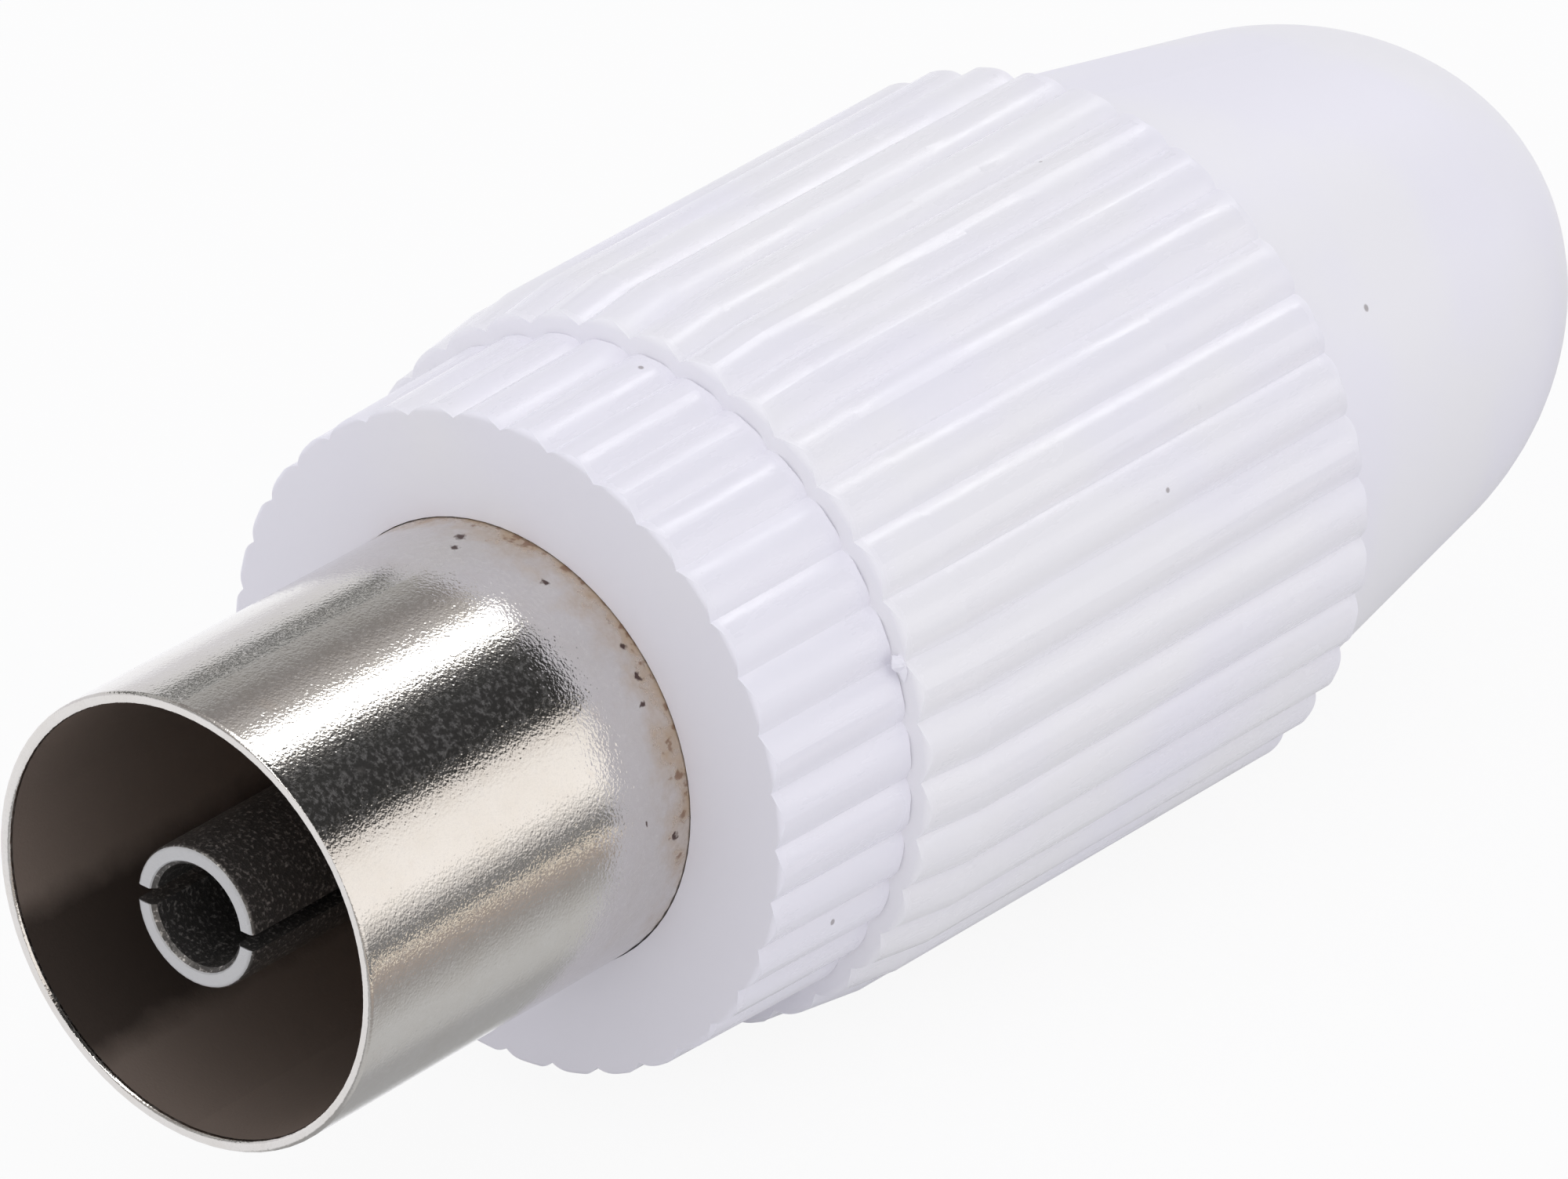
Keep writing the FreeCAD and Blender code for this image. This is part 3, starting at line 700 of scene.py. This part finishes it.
class AERIAL_OT_screws(bpy.types.Operator):
    """Finish the three small screws and wind their threads"""

    bl_idname = "aerial.screws"
    bl_label = "Screws"

    def execute(self, context):
        sizes = context.scene.aerial_sizes
        turned = steel_finish("screw_steel", context.scene.aerial_colours, TURNED_MARKS)
        for name in ("clamp_screw_left", "clamp_screw_right", "terminal_screw"):
            dress(turned, name)
            low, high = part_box(name)
            middle = (low + high) / 2
            neck = high.z - SCREW_HEAD * MM - SCREW_NECK * MM
            thread = thread_piece(
                f"{name}_thread", screw_axis(middle.x, middle.y),
                (SCREW_ROOT * MM, sizes.screw_crest), (low.z + SCREW_POINT * MM, neck),
                sizes.screw_pitch, SCREW_RIDGE, SCREW_STEPS)
            thread.data.materials.append(turned)
            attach(thread, name)
        return {"FINISHED"}


class AERIAL_OT_stage(bpy.types.Operator):
    """Set up the pale floor, the soft light and the camera"""

    bl_idname = "aerial.stage"
    bl_label = "Stage"

    # The room as the metal mirrors it: angle round the socket's axis, and colour.
    ROOM = (
        (-180, (0.30, 0.30, 0.30)), (-134, (0.34, 0.34, 0.36)), (-126, (0.56, 0.55, 0.62)),
        (-110, (0.64, 0.63, 0.69)), (-98, (0.63, 0.62, 0.66)), (-72, (0.62, 0.615, 0.625)),
        (-68, (0.54, 0.54, 0.54)), (-64, (0.06, 0.06, 0.06)), (-61, (0.12, 0.12, 0.12)),
        (-56, (0.40, 0.40, 0.395)), (-46, (0.36, 0.355, 0.35)), (-39, (0.22, 0.21, 0.205)),
        (-30, (0.23, 0.215, 0.21)), (-22, (0.38, 0.36, 0.35)), (-14, (0.48, 0.46, 0.45)),
        (-10, (1.0, 1.0, 0.98)), (2, (1.0, 1.0, 0.98)), (6, (0.28, 0.27, 0.265)),
        (12, (0.06, 0.06, 0.06)), (20, (0.034, 0.034, 0.034)), (44, (0.026, 0.026, 0.026)),
        (51, (0.06, 0.058, 0.056)), (55, (0.70, 0.66, 0.63)), (66, (0.88, 0.845, 0.81)),
        (91, (0.94, 0.90, 0.865)), (98, (0.60, 0.58, 0.56)), (180, (0.30, 0.30, 0.30)),
    )
    # The table as the metal mirrors it: millimetres to the right of the axis, and colour. The grey
    # from 1 to 5 mm is the socket's shadow on the table, painted in.
    TABLE_WITH_PAINTED_SHADOW = (
        (-20, (0.78, 0.78, 0.80)), (-1, (0.74, 0.74, 0.76)), (1, (0.30, 0.30, 0.30)),
        (4.8, (0.32, 0.32, 0.325)), (6.2, (0.43, 0.43, 0.43)), (9, (0.47, 0.47, 0.47)),
        (12, (0.38, 0.375, 0.37)), (15, (0.285, 0.275, 0.27)), (19, (0.33, 0.29, 0.265)),
        (23, (0.36, 0.31, 0.275)), (24.7, (0.42, 0.36, 0.31)), (25.1, (1.0, 0.93, 0.80)),
        (26.7, (1.0, 0.90, 0.74)), (27.3, (0.42, 0.38, 0.34)), (30, (0.19, 0.185, 0.185)),
        (42, (0.17, 0.17, 0.17)), (60, (0.44, 0.42, 0.41)), (100, (0.66, 0.635, 0.61)),
    )
    # Where the brightest strip of the room fades in and out again, in shares of a turn.
    STRIP = ((0.467, 0.472), (0.508, 0.513))
    STRIP_LIGHT = 2.2
    MIRROR_LIGHT = 1.35
    ROOM_COLOUR = (0.955, 0.955, 1.0, 1.0)
    BACKDROP_COLOUR = (0.8, 0.8, 0.8, 1.0)
    FLOOR_COLOURS = ((0.78, 0.78, 0.79), (0.82, 0.82, 0.82))
    # Share of plain white in the floor as the camera sees it. The rest keeps the shadow.
    FLOOR_WHITE = 0.91
    # In metres: the middle of the socket, the floor's radius, and the lamp's place and width.
    MIDDLE = (0.0, 0.02, 0.0)
    FLOOR_RADIUS = 0.5
    LAMP_PLACE = (0.20, -0.10, 0.34)
    LAMP_SIZE = 0.30

    def execute(self, context):
        scene, studio = context.scene, context.scene.aerial_studio
        scene.view_settings.view_transform = "Standard"
        self.make_floor(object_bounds()[0].z)
        self.make_world(scene, studio)
        self.make_lamp(studio)
        camera = linked("camera", bpy.data.cameras.new("camera"))
        camera.location = studio.camera_place
        camera.rotation_euler = studio.camera_turn
        camera.data.lens = studio.lens
        camera.data.clip_start = 0.01
        camera.data.clip_end = 5.0
        scene.camera = camera
        return {"FINISHED"}

    def make_floor(self, height):
        """A pale round table under the socket, white where the camera sees it lit."""
        mesh = bmesh.new()
        bmesh.ops.create_circle(mesh, cap_ends=True, segments=96, radius=self.FLOOR_RADIUS)
        floor = linked("floor", mesh_data(mesh, "floor"))
        floor.location = (*self.MIDDLE[:2], height)
        material, graph = finish("floor")
        seen, glossy, through = graph.rays()
        point, x, *_ = graph.place()
        paper = graph.noise(point, 0.6, detail=4.0)
        matte = graph.node("ShaderNodeBsdfPrincipled", inputs={
            "Base Color": graph.mix(paper, *self.FLOOR_COLOURS), "Roughness": 0.9})
        white = graph.node("ShaderNodeEmission", inputs={"Strength": 1.0})
        left, right = self.TABLE_WITH_PAINTED_SHADOW[0][0], self.TABLE_WITH_PAINTED_SHADOW[-1][0]
        stops = [((along - left) / (right - left), colour) for along, colour in self.TABLE_WITH_PAINTED_SHADOW]
        tone = graph.node("ShaderNodeValToRGB", {"stops": stops}, {0: (x - left) / (right - left)})
        # Mirrored rays see the table's stripes, with the socket's shadow painted into them.
        mirror = graph.node("ShaderNodeEmission", inputs={
            "Color": tone, "Strength": self.MIRROR_LIGHT})
        shown = graph.mix_shaders(seen * self.FLOOR_WHITE + through, matte, white)
        shown = graph.mix_shaders(glossy, shown, mirror)
        graph.node("ShaderNodeOutputMaterial", inputs={"Surface": shown})
        floor.data.materials.append(material)
        floor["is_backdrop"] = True

    def make_world(self, scene, studio):
        """A pale backdrop, even light from all round, and soft panels for the metal to mirror."""
        world = bpy.data.worlds.new("studio")
        scene.world = world
        world.use_nodes = True
        graph = Graph(world.node_tree)
        seen, glossy, through = graph.rays()
        x, _, z = graph.split(graph.node("ShaderNodeTexCoord", output="Generated"))
        turn = graph.turn(x, z)
        stops = [((angle + 180) / 360, colour) for angle, colour in self.ROOM]
        panels = graph.node("ShaderNodeValToRGB", {"stops": stops}, {0: turn})
        strip = graph.step(turn, *self.STRIP[0]) - graph.step(turn, *self.STRIP[1])
        even = graph.node("ShaderNodeBackground", inputs={
            "Color": self.ROOM_COLOUR, "Strength": studio.sky})
        mirror = graph.node("ShaderNodeBackground", inputs={
            "Color": panels, "Strength": self.MIRROR_LIGHT + self.STRIP_LIGHT * strip})
        backdrop = graph.node("ShaderNodeBackground", inputs={
            "Color": self.BACKDROP_COLOUR, "Strength": 1.0})
        shown = graph.mix_shaders(glossy, even, mirror)
        shown = graph.mix_shaders(seen + through, shown, backdrop)
        graph.node("ShaderNodeOutputWorld", inputs={"Surface": shown})

    def make_lamp(self, studio):
        """A large soft lamp above the camera's right, which the metal doesn't mirror."""
        data = bpy.data.lights.new("soft_lamp", "AREA")
        data.size = self.LAMP_SIZE
        data.energy = studio.lamp_power
        lamp = linked("soft_lamp", data)
        lamp.location = self.LAMP_PLACE
        aim = Vector(self.MIDDLE) - lamp.location
        lamp.rotation_euler = aim.to_track_quat("-Z", "Y").to_euler()
        lamp.visible_glossy = False


class AERIAL_PT_panel(bpy.types.Panel):
    """Buttons for the pieces of the aerial socket"""

    bl_idname = "AERIAL_PT_panel"
    bl_label = "Aerial Socket"
    bl_space_type = "VIEW_3D"
    bl_region_type = "UI"
    bl_category = "Aerial Socket"

    def draw(self, context):
        for step in STEPS:
            self.layout.operator(step.bl_idname)


STEPS = (
    AERIAL_OT_housing,
    AERIAL_OT_sleeve,
    AERIAL_OT_contact,
    AERIAL_OT_clamp,
    AERIAL_OT_screws,
    AERIAL_OT_stage,
)
GROUPS = {"aerial_colours": Colours, "aerial_sizes": Sizes, "aerial_studio": Studio}


def register():
    """Make the groups, the operators and the panel known to Blender."""
    for cls in (*GROUPS.values(), *STEPS, AERIAL_PT_panel):
        bpy.utils.register_class(cls)
    for name, group in GROUPS.items():
        setattr(bpy.types.Scene, name, PointerProperty(type=group))


def unregister():
    """Take them out again."""
    for name in GROUPS:
        delattr(bpy.types.Scene, name)
    for cls in reversed((*GROUPS.values(), *STEPS, AERIAL_PT_panel)):
        bpy.utils.unregister_class(cls)


def main():
    """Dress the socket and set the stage."""
    register()
    bpy.ops.aerial.housing()
    bpy.ops.aerial.sleeve()
    bpy.ops.aerial.contact()
    bpy.ops.aerial.clamp()
    bpy.ops.aerial.screws()
    bpy.ops.aerial.stage()


if __name__ == "__main__":
    main()
